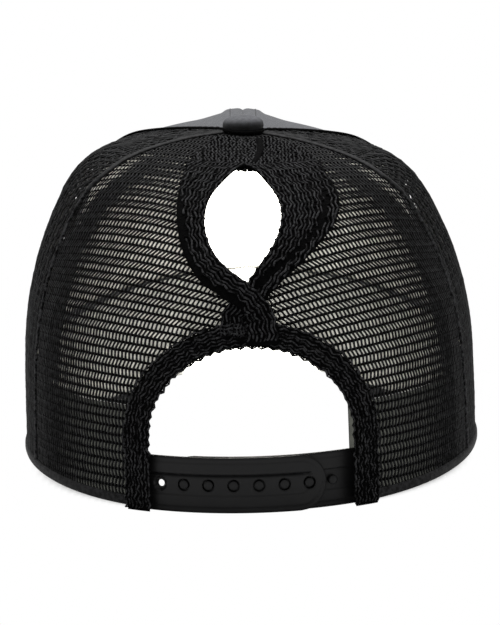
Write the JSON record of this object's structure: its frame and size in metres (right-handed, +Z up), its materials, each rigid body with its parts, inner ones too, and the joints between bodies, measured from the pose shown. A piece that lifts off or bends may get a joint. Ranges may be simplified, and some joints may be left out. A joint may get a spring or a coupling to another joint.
{
  "type": "trucker cap",
  "caption": "Trucker cap with cotton front, net sides and back, crossed bands round a pony-tail hole, arched opening with snap strap, covered button and curved brim.",
  "frame": {"origin": "on the surface the cap rests on, below the middle of its overall box", "axes": "+Z up, +Y towards the brim, +X towards the wearer's right side as the picture's right"},
  "size_m": [0.163, 0.2624, 0.1235],
  "materials": {
    "cotton": "washed charcoal cotton",
    "brim": "washed charcoal cotton over a stiff board",
    "lining": "light buckram lining",
    "net": "black polyester net",
    "net_hem": "doubled black polyester net",
    "sweatband": "dark grey cotton twill",
    "strap": "satin black moulded plastic"
  },
  "bodies": {
    "root": {"arch_hem": "net_hem", "back_mesh_left": "net", "back_mesh_right": "net", "brim": "brim", "button": "cotton", "front_lining_left": "lining", "front_lining_right": "lining", "front_panel_left": "cotton", "front_panel_right": "cotton", "pony_band_left": "net_hem", "pony_band_right": "net_hem", "seam_tape_left": "net_hem", "seam_tape_right": "net_hem", "side_mesh_left": "net", "side_mesh_right": "net", "strap_left": "strap", "strap_right": "strap", "sweatband": "sweatband"}
  },
  "joints": []
}
